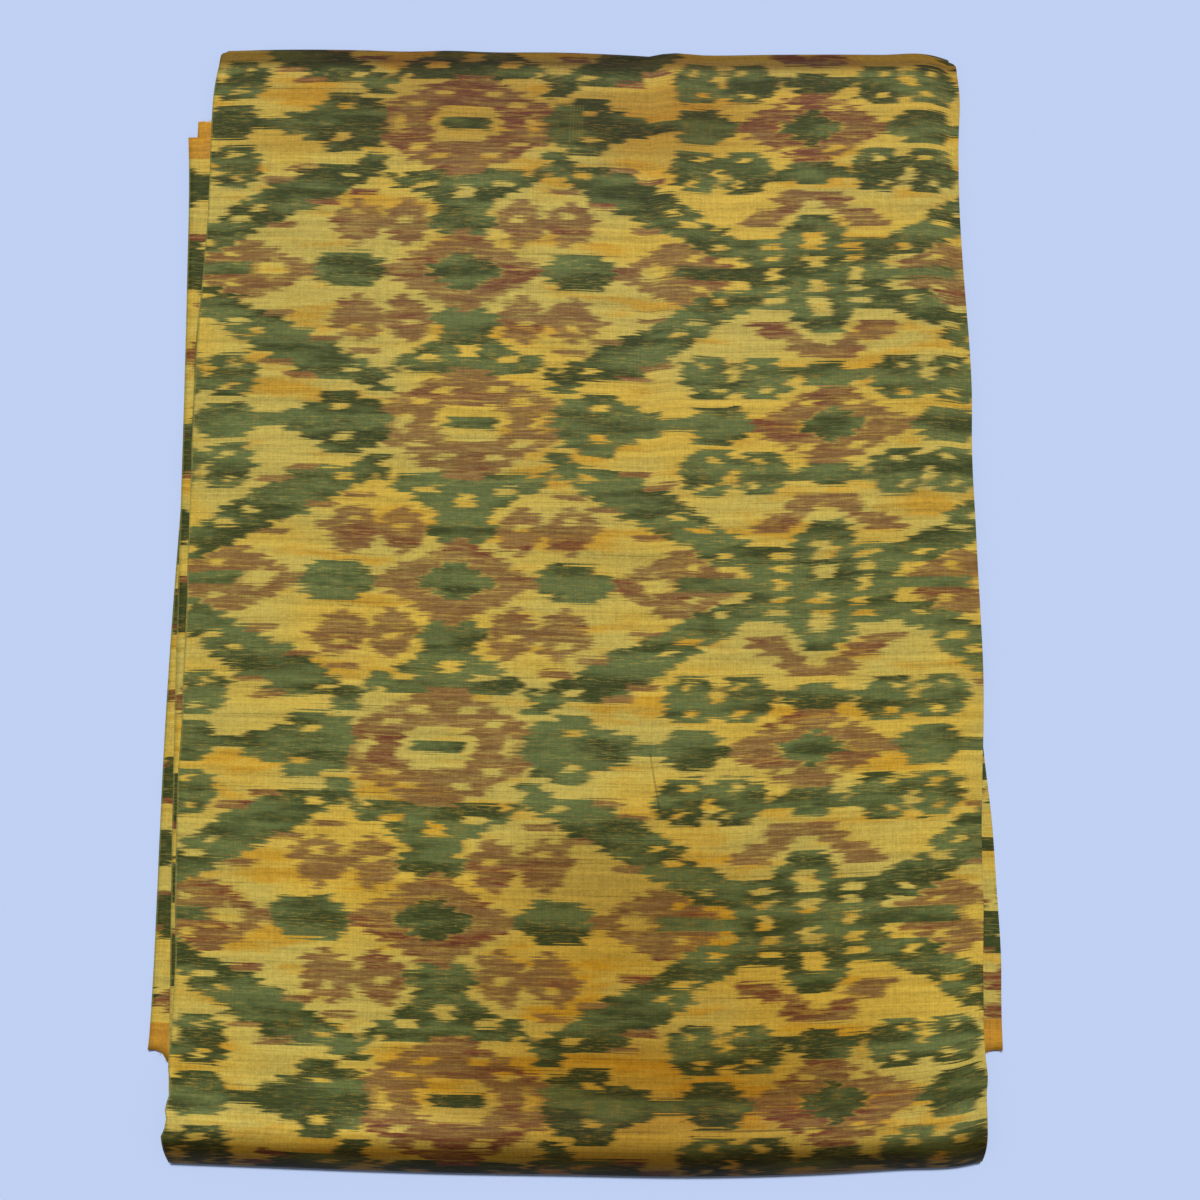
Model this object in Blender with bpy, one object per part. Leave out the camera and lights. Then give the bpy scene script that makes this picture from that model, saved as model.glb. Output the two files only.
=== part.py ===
"""A folded length of weft-ikat silk, lying flat: one woven cloth, doubled along its length and
then folded in three. Metres, +Z up. +X runs across the doubled cloth, from its selvedges to its
doubling fold, and +Y along it, from the bottom fold to the top fold.

From end B the cloth runs down as the middle panel, round the bottom fold, up as the top panel,
round the top fold, and down as the bottom panel to end C. In each panel one half of the doubled
cloth faces out of the roll and the other faces in, and the doubling fold joins them at the right.
"""

from collections import namedtuple

import bmesh
import bpy
import numpy as np

MM = 0.001

# The doubled cloth
SHEET = 1.0 * MM
HALF_GAP = 0.5 * MM  # air between the two halves
PANEL_GAP = 0.6 * MM  # air between two panels
HALF_RADIUS = (SHEET + HALF_GAP) / 2  # from the pair's middle to the middle of a half
OUTER_SKIN = HALF_RADIUS + SHEET / 2  # also the height of the pair's middle on the floor
INNER_SKIN = HALF_RADIUS - SHEET / 2
PANEL_PITCH = 2 * OUTER_SKIN + PANEL_GAP

# Heights of the pair's middle in each panel
BOTTOM_PANEL = OUTER_SKIN
MIDDLE_PANEL = BOTTOM_PANEL + PANEL_PITCH
TOP_PANEL = MIDDLE_PANEL + PANEL_PITCH

# The folds and the soft steps that the cloth makes over its own ends
FOLD_DEPTH = 6.0 * MM  # how far a fold's loop reaches past the flat part of its panels
FOLD_REACH = FOLD_DEPTH + OUTER_SKIN
STEP_DOWN_START = -302 * MM  # the middle panel leaves the bottom panel's end here
STEP_DOWN_END = -347 * MM  # and lies on the floor from here
SAG_START = 312 * MM  # the top panel passes the middle panel's end here
SAG_END = 345 * MM
SAG = 0.5 * MM

# How the mesh is divided
ACROSS = (0, 0.02, 0.07, 0.16, 0.27, 0.39, 0.5, 0.61, 0.73, 0.84, 0.93, 0.98, 1)
DOUBLING_STEPS = 4
FOLD_STEPS = 6
PANEL_STEPS = {"middle": 13, "top": 22, "bottom": 14}

# Each section across a panel, in millimetres: its place along the cloth, the selvedge of the half
# that faces out, the selvedge of the half that faces in, and the outside of the doubling fold.
Section = namedtuple("Section", "along out_selvedge in_selvedge fold")

MIDDLE_SECTIONS = (
    Section(301, -255.5, -261.2, 250.0),
    Section(279, -255.7, -260.0, 250.0),
    Section(203, -255.4, -258.4, 249.5),
    Section(135, -255.0, -257.5, 250.5),
    Section(87, -254.8, -257.1, 250.8),
    Section(-10, -254.2, -256.5, 251.5),
    Section(-150, -253.2, -254.6, 250.0),
    Section(-250, -251.5, -252.2, 249.0),
    Section(-350, -249.8, -249.8, 248.8),
)
TOP_SECTIONS = (
    Section(-350, -251.2, -250.6, 249.8),
    Section(-344, -252.3, -251.4, 250.6),
    Section(-331, -248.8, -249.6, 251.2),
    Section(-312, -248.6, -248.9, 253.4),
    Section(-287, -249.8, -249.0, 251.9),
    Section(-239, -248.2, -248.9, 253.0),
    Section(-207, -249.7, -249.0, 254.4),
    Section(-154, -250.6, -249.6, 255.0),
    Section(-121, -251.0, -249.9, 256.6),
    Section(-54, -249.8, -250.2, 259.4),
    Section(-18, -249.1, -250.0, 258.9),
    Section(39, -249.9, -249.4, 257.7),
    Section(87, -249.9, -250.6, 256.9),
    Section(134, -249.6, -250.8, 258.2),
    Section(190, -247.8, -248.6, 256.4),
    Section(214, -246.6, -246.4, 255.3),
    Section(263, -244.7, -245.4, 254.2),
    Section(301, -245.0, -244.2, 254.9),
    Section(342, -243.2, -243.4, 256.6),
    Section(354, -241.0, -241.5, 255.0),
)
BOTTOM_SECTIONS = (
    Section(354, -241.0, -241.5, 250.0),
    Section(250, -247.0, -247.8, 251.5),
    Section(180, -251.0, -252.4, 252.5),
    Section(64, -256.2, -257.4, 255.0),
    Section(-41, -259.0, -261.4, 257.2),
    Section(-100, -260.6, -262.8, 259.7),
    Section(-149, -260.2, -263.3, 263.7),
    Section(-187, -259.4, -263.5, 265.0),
    Section(-228, -258.2, -263.8, 266.3),
    Section(-262, -257.0, -264.5, 265.4),
    Section(-291, -255.6, -265.6, 265.4),
)

# A fold's crest in plan, in millimetres: where it lies across the cloth and how far along.
Crest = namedtuple("Crest", "across along")

BOTTOM_CREST = (
    Crest(-250, -357.2),
    Crest(-192, -359.3),
    Crest(-77, -363.0),
    Crest(76, -365.4),
    Crest(148, -363.6),
    Crest(201, -360.7),
    Crest(249, -356.6),
)
TOP_CREST = (
    Crest(-237, 364.8),
    Crest(-160, 365.6),
    Crest(-36, 364.4),
    Crest(45, 361.2),
    Crest(62, 362.6),
    Crest(205, 362.2),
    Crest(246, 359.6),
)
BOTTOM_CREST_ENDS = (-249.0, 249.8)  # selvedge and doubling fold at the crest itself
TOP_CREST_ENDS = (-236.7, 246.0)

# The two cut ends, in millimetres: where the half that faces in ends, how far back its corners
# lie at the selvedge and at the doubling fold, and how much further the half that faces out runs
# at its selvedge.
MIDDLE_END = {"along": 303.0, "selvedge_back": 1.5, "fold_back": 1.5, "out_half_more": 12.0}
BOTTOM_END = {"along": -299.5, "selvedge_back": 8.5, "fold_back": 8.0, "out_half_more": 2.0}
CORNER_SHARE = 0.025  # the share of the width over which a corner lies back

# Soft rises of the top panel, in millimetres: a centre, the half-lengths along the rise and
# across it, the turn of the rise from +X in degrees, and its height.
Rise = namedtuple("Rise", "across along reach breadth turn height")

RISES = (
    Rise(-190, -318, 70, 24, -8, 0.9),
    Rise(212, -312, 55, 24, 20, 1.2),
    Rise(-222, -55, 45, 34, 10, 0.9),
    Rise(-60, 285, 190, 36, 3, 0.8),
    Rise(120, 60, 170, 60, -12, 0.8),
    Rise(-120, -150, 150, 50, 8, 0.8),
    Rise(40, -296, 180, 28, 2, 0.6),
)

CLOTH_COLOUR = (0.52, 0.37, 0.07, 1.0)
CLOTH_ROUGHNESS = 0.6


def clear_scene():
    for obj in list(bpy.data.objects):
        bpy.data.objects.remove(obj, do_unlink=True)


def ease(value, start, end):
    """A smooth step from 0 at start to 1 at end."""
    t = np.clip((value - start) / (end - start), 0, 1)
    return t * t * (3 - 2 * t)


def curve_through(known_at, known, at):
    """A cubic through the known values, whose slope at each is that of its two neighbours."""
    known_at = np.asarray(known_at, float)
    known = np.asarray(known, float)
    slope = np.gradient(known, known_at)
    i = np.clip(np.searchsorted(known_at, at) - 1, 0, len(known_at) - 2)
    step = known_at[i + 1] - known_at[i]
    t = np.clip((at - known_at[i]) / step, 0, 1)
    return (
        (1 + 2 * t) * (1 - t) ** 2 * known[i]
        + t * (1 - t) ** 2 * step * slope[i]
        + t * t * (3 - 2 * t) * known[i + 1]
        - t * t * (1 - t) * step * slope[i + 1]
    )


def crest_line(crest, across):
    """How far along the cloth a fold's outside lies, for each place across it."""
    return curve_through([c.across * MM for c in crest], [c.along * MM for c in crest], across)


def edges_at(sections, along):
    """Out selvedge, in selvedge and outside of the doubling fold at a place along a panel."""
    ordered = sorted(sections, key=lambda section: section.along)
    known_at = [section.along * MM for section in ordered]
    edges = np.array([section[1:] for section in ordered]) * MM
    return [curve_through(known_at, edges[:, column], along) for column in range(3)]


def rise_of(across, along):
    """The height that the soft rises add to the top panel; it fades out at both folds."""
    total = np.zeros_like(across)
    for rise in RISES:
        turn = np.radians(rise.turn)
        dx = across - rise.across * MM
        dy = along - rise.along * MM
        lengthwise = (dx * np.cos(turn) + dy * np.sin(turn)) / (rise.reach * MM)
        crosswise = (dy * np.cos(turn) - dx * np.sin(turn)) / (rise.breadth * MM)
        total += rise.height * MM * np.exp(-(lengthwise**2) - crosswise**2)
    return total * ease(along, -352 * MM, -332 * MM) * ease(-along, -356 * MM, -325 * MM)


def hairpin_columns():
    """The doubled cloth's section as columns: how far across each lies, and its angle round the
    doubling fold, 0 on the half that faces out and pi on the half that faces in."""
    turn = np.linspace(0, np.pi, DOUBLING_STEPS + 1)
    across = np.concatenate([ACROSS, np.ones(DOUBLING_STEPS - 1), ACROSS[::-1]])
    angle = np.concatenate([np.zeros(len(ACROSS)), turn[1:-1], np.full(len(ACROSS), np.pi)])
    return across, angle


def across_places(edges, across, angle):
    """Where a section's columns lie along X, before the skins' own thickness."""
    out_selvedge, in_selvedge, fold = edges
    selvedge = np.where(angle < np.pi / 2, out_selvedge, in_selvedge)
    return selvedge + (fold - OUTER_SKIN - selvedge) * across


def end_line(end, across, angle):
    """Where a cut end lies along Y: straight, but for its corners and the half that runs on."""
    selvedge_corner = np.clip(1 - across / CORNER_SHARE, 0, 1)
    fold_corner = np.clip(1 - (1 - across) / CORNER_SHARE, 0, 1)
    back = end["selvedge_back"] * selvedge_corner + end["fold_back"] * fold_corner
    more = end["out_half_more"] * (1 - across) * (angle < np.pi / 2)
    return (end["along"] + np.sign(end["along"]) * (more - back)) * MM


def panel_rows(name, across, angle):
    """Rows of (x, y, z, normal y, normal z) along one panel, in the order that the cloth runs."""
    sections = {"middle": MIDDLE_SECTIONS, "top": TOP_SECTIONS, "bottom": BOTTOM_SECTIONS}[name]
    first, last = sections[0].along * MM, sections[-1].along * MM
    rows = []
    for share in np.linspace(0, 1, PANEL_STEPS[name] + 1):
        nominal = first + (last - first) * share
        x = across_places(edges_at(sections, nominal), across, angle)
        bottom = crest_line(BOTTOM_CREST, x) + FOLD_REACH
        top = crest_line(TOP_CREST, x) - FOLD_REACH
        if name == "middle":
            start, end = end_line(MIDDLE_END, across, angle), bottom
        elif name == "top":
            start, end = bottom, top
        else:
            start, end = top, end_line(BOTTOM_END, across, angle)
        y = start + (end - start) * share
        if name == "middle":
            z = BOTTOM_PANEL + PANEL_PITCH * ease(y, STEP_DOWN_END, STEP_DOWN_START)
        elif name == "top":
            z = TOP_PANEL - SAG * ease(y, SAG_START, SAG_END) + rise_of(x, y)
        else:
            z = np.full_like(x, BOTTOM_PANEL)
        facing = 1.0 if name == "top" else -1.0
        rows.append(np.stack([x, y, z, np.zeros_like(x), np.full_like(x, facing)]))
    return rows


def fold_rows(before, after, ends, across, angle, outward):
    """Rows round a fold's half-ellipse, between the panel rows before and after it. The crest
    draws in from the panels' edges to its own ends."""
    crest = across_places((ends[0] * MM, ends[0] * MM, ends[1] * MM), across, angle)
    middle = (before[2] + after[2]) / 2
    half_height = (before[2] - after[2]) / 2
    rows = []
    for share in np.linspace(0, 1, FOLD_STEPS + 1)[1:-1]:
        turn = np.pi * share
        x = before[0] + (after[0] - before[0]) * share
        x = x + (crest - x) * np.sin(turn)
        line = crest_line(BOTTOM_CREST if outward < 0 else TOP_CREST, x)
        y = line - outward * FOLD_REACH + outward * FOLD_DEPTH * np.sin(turn)
        z = middle + half_height * np.cos(turn)
        normal = np.stack([outward * np.sin(turn) / FOLD_DEPTH + 0 * x, np.cos(turn) / half_height])
        rows.append(np.concatenate([[x, y, z], normal / np.linalg.norm(normal, axis=0)]))
    return rows


def cloth_path(across, angle):
    """All rows from end B to end C."""
    middle = panel_rows("middle", across, angle)
    top = panel_rows("top", across, angle)
    bottom = panel_rows("bottom", across, angle)
    bottom_fold = fold_rows(middle[-1], top[0], BOTTOM_CREST_ENDS, across, angle, -1)
    top_fold = fold_rows(top[-1], bottom[0], TOP_CREST_ENDS, across, angle, 1)
    return np.array(middle + bottom_fold + top + top_fold + bottom)


def skin(path, angle, radius):
    """One face of the cloth: the path's rows moved out by a radius along the turning normal."""
    x, y, z, normal_y, normal_z = path.transpose(1, 0, 2)
    out = radius * np.cos(angle)
    return np.stack([x + radius * np.sin(angle), y + out * normal_y, z + out * normal_z], axis=-1)


def folded_cloth():
    across, angle = hairpin_columns()
    path = cloth_path(across, angle)
    skins = [skin(path, angle, OUTER_SKIN), skin(path, angle, INNER_SKIN)]
    rows, columns = skins[0].shape[:2]

    mesh = bmesh.new()
    verts = [[[mesh.verts.new(point) for point in row] for row in side] for side in skins]
    for i in range(rows - 1):
        for j in range(columns - 1):
            for side in verts:
                mesh.faces.new((side[i][j], side[i + 1][j], side[i + 1][j + 1], side[i][j + 1]))
    outer, inner = verts
    for i in range(rows - 1):
        for j in (0, columns - 1):
            mesh.faces.new((outer[i][j], outer[i + 1][j], inner[i + 1][j], inner[i][j]))
    for j in range(columns - 1):
        for i in (0, rows - 1):
            mesh.faces.new((outer[i][j], outer[i][j + 1], inner[i][j + 1], inner[i][j]))
    bmesh.ops.recalc_face_normals(mesh, faces=mesh.faces)
    data = bpy.data.meshes.new("folded_cloth")
    mesh.to_mesh(data)
    mesh.free()
    data.shade_smooth()
    data.set_sharp_from_angle(angle=np.radians(50))
    return bpy.data.objects.new("folded_cloth", data)


def cloth_material():
    material = bpy.data.materials.new("ikat_silk")
    material.use_nodes = True
    shader = material.node_tree.nodes["Principled BSDF"]
    shader.inputs["Base Color"].default_value = CLOTH_COLOUR
    shader.inputs["Roughness"].default_value = CLOTH_ROUGHNESS
    shader.inputs["Metallic"].default_value = 0.0
    return material


def main():
    clear_scene()
    cloth = folded_cloth()
    cloth.data.materials.append(cloth_material())
    bpy.context.scene.collection.objects.link(cloth)


main()
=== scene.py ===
import bpy
import numpy as np
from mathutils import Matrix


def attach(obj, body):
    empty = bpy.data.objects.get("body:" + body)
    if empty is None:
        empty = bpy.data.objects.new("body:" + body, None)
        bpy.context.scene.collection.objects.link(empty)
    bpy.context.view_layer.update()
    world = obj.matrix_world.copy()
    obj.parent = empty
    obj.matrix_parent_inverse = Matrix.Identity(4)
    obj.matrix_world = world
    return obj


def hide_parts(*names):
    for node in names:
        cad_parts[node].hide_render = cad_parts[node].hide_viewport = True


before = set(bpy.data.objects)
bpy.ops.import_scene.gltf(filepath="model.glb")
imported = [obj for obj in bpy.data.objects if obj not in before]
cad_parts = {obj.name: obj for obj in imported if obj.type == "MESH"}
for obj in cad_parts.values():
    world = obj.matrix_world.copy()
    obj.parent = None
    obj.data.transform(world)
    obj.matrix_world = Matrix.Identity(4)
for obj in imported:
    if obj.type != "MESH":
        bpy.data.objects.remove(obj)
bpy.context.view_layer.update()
mm = 0.001

# The woven length. Heights and radii are those of the frame's solid, with a thinner sheet.
cloth = {
    "thickness": 0.45 * mm,
    "halfRadius": 0.75 * mm,  # from the middle of the doubled cloth to the middle of one half
    "panelPitch": 3.1 * mm,
    "skin": 1.25 * mm,  # from the middle of the doubled cloth to the solid's outer face
    # how far each fold rolls, above and below its crest, the crest's share of its height, and the
    # power that squares off its upper part
    "rolls": {"bottom": {"above": 18 * mm, "below": 4.5 * mm, "crest": 0.20, "fall": 2.0},
              "top": {"above": 8 * mm, "below": 4.5 * mm, "crest": 0.36, "fall": 1.7}},
    "halfWidth": 506 * mm,  # selvedge to doubling fold
    "headers": (16.5 * mm, 25 * mm),  # plain orange weaving at each cut end
    "selvedge": 1.0 * mm,
    "stepStart": -302 * mm,  # the middle panel leaves the bottom panel's end
    "stepEnd": -347 * mm,
    "sagStart": 312 * mm,  # the top panel passes the middle panel's end
    "sagEnd": 345 * mm,
    "sag": 0.5 * mm,
    "loft": {"at": -342 * mm, "reach": 17 * mm, "height": 7.0 * mm},  # the bottom fold springs up
    "creasesFade": {"bottom": 18 * mm, "top": 14 * mm},  # no crease reaches into a fold
    "lobeShare": 0.04,  # of the width, at each corner
    "crowding": 0.11,  # of the columns, towards both edges
    "rows": {"middle": 70, "top": 150, "bottom": 70, "fold": 14},
    "columns": {"out": 88, "in": 40, "fold": 8},
}

# Sections across each panel, in mm: place along the cloth, both selvedges, doubling fold
sections = {
    "middle": {
        "along": (301, 279, 203, 135, 87, -10, -150, -250, -350),
        "out": (-255.5, -255.7, -255.4, -255.0, -254.8, -254.2, -253.2, -251.5, -249.8),
        "in": (-261.2, -260.0, -258.4, -257.5, -257.1, -256.5, -254.6, -252.2, -249.8),
        "fold": (250.0, 250.0, 249.5, 250.5, 250.8, 251.5, 250.0, 249.0, 248.8),
    },
    "top": {
        "along": (-350, -344, -338, -331, -324, -312, -300, -287, -262, -239, -207, -154,
                  -121, -88, -54, -18, 10, 39, 87, 134, 166, 190, 214, 263, 301, 342, 354),
        "out": (-251.2, -252.4, -251.0, -248.6, -250.4, -248.2, -250.2, -249.6, -248.9, -248.2,
                -249.7, -250.6, -251.0, -249.8, -249.8, -249.1, -250.0, -249.9, -249.9, -249.6,
                -249.0, -247.8, -246.6, -244.7, -245.0, -243.2, -241.0),
        "in": (-250.6, -251.4, -250.4, -249.6, -249.4, -248.9, -249.2, -249.0, -249.2, -248.9,
               -249.0, -249.6, -249.9, -250.3, -250.2, -250.0, -249.4, -249.4, -250.6, -250.8,
               -250.2, -248.6, -246.4, -245.4, -244.2, -243.4, -241.5),
        "fold": (249.8, 250.6, 250.4, 251.2, 251.8, 253.4, 252.4, 251.9, 252.5, 253.0,
                 254.4, 255.0, 256.6, 258.4, 259.4, 258.9, 258.2, 257.7, 256.9, 258.2,
                 257.5, 256.4, 255.3, 254.2, 254.9, 256.6, 255.4),
    },
    "bottom": {
        "along": (354, 250, 180, 64, -41, -100, -149, -187, -228, -262, -291),
        "out": (-241.0, -247.0, -251.0, -256.2, -259.0, -260.6, -260.2, -259.4, -258.2, -257.0,
                -255.6),
        "in": (-241.5, -247.8, -252.4, -257.4, -261.4, -262.8, -263.3, -263.5, -263.8, -264.5,
               -265.6),
        "fold": (250.0, 251.5, 252.5, 255.0, 257.2, 259.7, 263.7, 265.0, 266.3, 265.4, 265.4),
    },
}

# The folds' crests seen from above, in mm, and where selvedge and doubling fold draw in to there
crests = {
    "bottom": {
        "across": (-250, -192, -138, -77, -9, 76, 148, 201, 236, 249),
        "along": (-357.2, -359.3, -361.3, -363.1, -364.2, -365.4, -363.6, -360.7, -359.0, -356.6),
        "ends": (-249.0, 249.8),
    },
    "top": {
        "across": (-237, -201, -148, -113, -88, -59, -12, 36, 50, 58, 87, 133, 205, 240, 245, 250),
        "along": (364.8, 365.7, 365.4, 364.4, 365.0, 363.9, 363.7, 361.6, 360.9, 362.7, 361.6,
                  362.1, 362.1, 361.6, 360.2, 358.4),
        "ends": (-236.7, 250.0),
    },
}

# Small lobes at the folds' corners: corner (1 is the selvedge's), turn and its reach in radians,
# and shift in mm
lobes = {"bottom": (), "top": ((1, 0.55, 0.35, -1.6), (1, 0.95, 0.2, 0.9),
                               (0, 0.35, 0.3, 1.4), (0, 0.80, 0.2, -1.2), (0, 1.15, 0.25, 1.0))}

# Cut ends, in mm: where the half that faces in ends, how far its corners are drawn back, how far
# the other half runs on, and how much shorter both are at the doubling fold. A corner is a share
# of the width and of the panel's length. Ragged waves: height, waves in radians, and phase
cutEnds = {
    "middle": {"along": 303.0, "selvedgeBack": 1.5, "foldBack": 1.5, "outMore": 12.0, "less": 0},
    "bottom": {"along": -299.5, "selvedgeBack": 8.5, "foldBack": 6.0, "outMore": 2.0, "less": 3.6},
    "cornerShare": 0.025,
    "cornerRound": 0.45,
    "ragged": ((0.5, 61, 0), (0.35, 143, 1), (0.2, 311, 0)),
}

# Rises (+) and troughs (-) of the top panel, in mm: centre, half-lengths, turn in degrees, height
creases = {
    "across": (-190, 212, -222, -60, 120, -120, 40, 236, 244, 0, -240, -238, -150, 205, -244, -236,
               30, -20, 150, -90, 236, 60, -60),
    "along": (-318, -312, -55, 285, 60, -150, -296, -299, -322, -333, -326, -44, 250, 318, -52, 262,
              190, 40, -30, 120, 90, 330, -240),
    "reach": (70, 55, 45, 190, 170, 150, 180, 26, 22, 240, 26, 14, 90, 40, 16, 14,
              120, 150, 110, 100, 20, 160, 130),
    "breadth": (24, 24, 34, 36, 60, 50, 28, 4.5, 5, 3.2, 4, 6, 9, 6, 4, 6,
                10, 12, 9, 8, 7, 6, 9),
    "turn": (-8, 20, 10, 3, -12, 8, 2, 34, 22, -1, 4, 38, 5, -14, -30, -20,
             4, -3, 9, -6, -24, 2, 5),
    "height": (0.9, 1.2, 0.9, 0.8, 0.8, 0.8, 0.6, 1.3, -0.9, -0.35, 0.7, 0.7, 0.30, 0.5, -0.6, 0.5,
               -0.28, 0.30, -0.25, 0.28, 0.45, -0.30, 0.28),
}

# Weft lines pulled out of straight on the top panel, in mm: centre, half-lengths, and the pull
pulls = {
    "across": (262, 262, -60, -150, 60, -262, 190, -20),
    "along": (-305, -352, 262, 268, 120, -40, -140, -170),
    "reach": (46, 60, 34, 40, 160, 46, 120, 150),
    "breadth": (30, 26, 24, 22, 60, 30, 50, 60),
    "shift": (6.5, 4.0, 2.2, -1.8, 1.6, -2.0, 1.5, -1.4),
}


def eased(value, start, end):
    # 3t^2 - 2t^3, where t runs from 0 at start to 1 at end
    t = np.clip((value - start) / (end - start), 0, 1)
    return t * t * (3 - 2 * t)


def through(knownAt, known, at):
    # a cubic through the known points, each with the slope of its two neighbours
    order = np.argsort(knownAt)
    knownAt, known = np.asarray(knownAt, float)[order], np.asarray(known, float)[order]
    slope = np.gradient(known, knownAt)
    i = np.clip(np.searchsorted(knownAt, at) - 1, 0, len(knownAt) - 2)
    step = knownAt[i + 1] - knownAt[i]
    t = np.clip((at - knownAt[i]) / step, 0, 1)
    return ((1 + 2 * t) * (1 - t) ** 2 * known[i] + t * (1 - t) ** 2 * step * slope[i]
            + t * t * (3 - 2 * t) * known[i + 1] - t * t * (1 - t) * step * slope[i + 1])


def humps(table, rise, x, y):
    # the sum of bell curves rise * exp(-(a/reach)^2 - (b/breadth)^2), a and b turned with each one
    total = np.zeros_like(x)
    turns = table.get("turn", (0,) * len(table["across"]))
    for cx, cy, reach, breadth, turn, height in zip(
            table["across"], table["along"], table["reach"], table["breadth"], turns, table[rise]):
        c, s = np.cos(np.radians(turn)), np.sin(np.radians(turn))
        dx, dy = x - cx * mm, y - cy * mm
        a, b = (dx * c + dy * s) / (reach * mm), (dy * c - dx * s) / (breadth * mm)
        total += height * mm * np.exp(-a * a - b * b)
    return total


def crestLine(name, x):
    # how far along the cloth a fold's crest lies, at each place across
    crest = crests[name]
    return through(crest["across"], crest["along"], x / mm) * mm


def hairpin(spec):
    # columns of the doubled cloth: share across, angle round the doubling fold, and UV's u
    def spread(count):  # t - crowding * sin(2 pi t): closer together at both edges
        t = np.linspace(0, 1, count)
        return t - spec["crowding"] * np.sin(2 * np.pi * t)
    outShare, inShare = spread(spec["columns"]["out"]), spread(spec["columns"]["in"])[::-1]
    turn = np.linspace(0, np.pi, spec["columns"]["fold"] + 1)[1:-1]
    share = np.concatenate([outShare, np.ones(len(turn)), inShare])
    angle = np.concatenate([np.zeros(len(outShare)), turn, np.full(len(inShare), np.pi)])
    half, arc = spec["halfWidth"], np.pi * spec["halfRadius"]
    u = np.concatenate([outShare * half, half + arc * turn / np.pi,
                        half + arc + (1 - inShare) * half])
    return share, angle, u


def acrossPlaces(edges, share, angle):
    # straight across from the selvedge of each half to the doubling fold
    out, inner, fold = edges
    selvedge = np.where(angle < np.pi / 2, out, inner) * mm
    return selvedge + (fold * mm - cloth["skin"] - selvedge) * share


def endLine(name, share, angle):
    # the straight cut end, a little ragged, and how far its corners are drawn back
    end, corner, rounded = cutEnds[name], cutEnds["cornerShare"], cutEnds["cornerRound"]
    back = (end["selvedgeBack"] * eased(1 - share / corner, 0, rounded)
            + end["foldBack"] * eased(1 - (1 - share) / corner, 0, rounded))
    more = end["outMore"] * (1 - share) * (angle < np.pi / 2) - end["less"] * share
    ragged = sum(size * np.sin(waves * share + phase) for size, waves, phase in cutEnds["ragged"])
    sign = np.sign(end["along"])
    return (end["along"] + sign * more + ragged) * mm, sign * back * mm


def panelRows(name, share, angle):
    # straight rows from one end of the panel to the other, with its own height
    low = cloth["halfRadius"] + cloth["thickness"] / 2
    table = sections[name]
    side = "above" if name == "top" else "below"
    inset = {fold: cloth["skin"] + cloth["rolls"][fold][side] for fold in ("bottom", "top")}
    first, last = table["along"][0], table["along"][-1]
    if name == "top":
        first = crests["bottom"]["along"][0] + inset["bottom"] / mm
        last = crests["top"]["along"][0] - inset["top"] / mm
    rows = []
    for step in np.linspace(0, 1, cloth["rows"][name] + 1):
        nominal = first + (last - first) * step
        edges = [through(table["along"], table[edge], nominal) for edge in ("out", "in", "fold")]
        x = acrossPlaces(edges, share, angle)
        bottom = crestLine("bottom", x) + inset["bottom"]
        top = crestLine("top", x) - inset["top"]
        if name == "top":
            y = bottom + (top - bottom) * step
        else:
            cut, back = endLine(name, share, angle)
            fold = bottom if name == "middle" else top
            nearness = 1 - step if name == "middle" else step  # 1 at the cut end
            y = fold + (cut - fold) * nearness - back * eased(
                nearness, 1 - cutEnds["cornerShare"], 1)
        z = np.full_like(x, low)
        if name == "middle":
            z += cloth["panelPitch"] * eased(y, cloth["stepEnd"], cloth["stepStart"])
        if name == "top":
            loft, fade = cloth["loft"], cloth["creasesFade"]
            inside = (eased(y, bottom, bottom + fade["bottom"])
                      * eased(-y, -top, fade["top"] - top))
            z += 2 * cloth["panelPitch"]
            z -= cloth["sag"] * eased(y, cloth["sagStart"], cloth["sagEnd"])
            z += loft["height"] * np.exp(-((y - loft["at"]) / loft["reach"]) ** 2)
            z += humps(creases, "height", x, y) * inside
            y = y + humps(pulls, "shift", x, y) * inside
        rows.append(np.stack([x, y, z]))
    return rows


def foldRows(before, after, name, share, angle):
    # two quarters of ellipses from one panel to the next, whose edges draw in to the crest's ends.
    # A lobe shifts the corner by a bell curve of the turn
    outward = 1 if name == "top" else -1
    roll, ends = cloth["rolls"][name], crests[name]["ends"]
    crestX = acrossPlaces((ends[0], ends[0], ends[1]), share, angle)
    high, low = np.maximum(before[2], after[2]), np.minimum(before[2], after[2])
    crestZ = low + (high - low) * roll["crest"]
    rows = []
    for step in np.linspace(0, 1, cloth["rows"]["fold"] + 1)[1:-1]:
        turn = np.pi * step
        near = before if step < 0.5 else after
        isHigh = near[2] > crestZ
        x = before[0] + (after[0] - before[0]) * step
        x = x + (crestX - x) * np.sin(turn)
        for corner, turnAt, reach, shift in lobes[name]:
            x = x + shift * mm * np.exp(-((turn - turnAt) / reach) ** 2) * eased(
                np.abs(share - 1 + corner), cloth["lobeShare"], 0)
        depth = np.where(isHigh, roll["above"], roll["below"])
        y = crestLine(name, x) - outward * (cloth["skin"] + depth * (1 - np.sin(turn)))
        fall = np.where(isHigh, roll["fall"], 1.0)
        z = crestZ + (near[2] - crestZ) * np.abs(np.cos(turn)) ** fall
        rows.append(np.stack([x, y, z]))
    return rows


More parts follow.
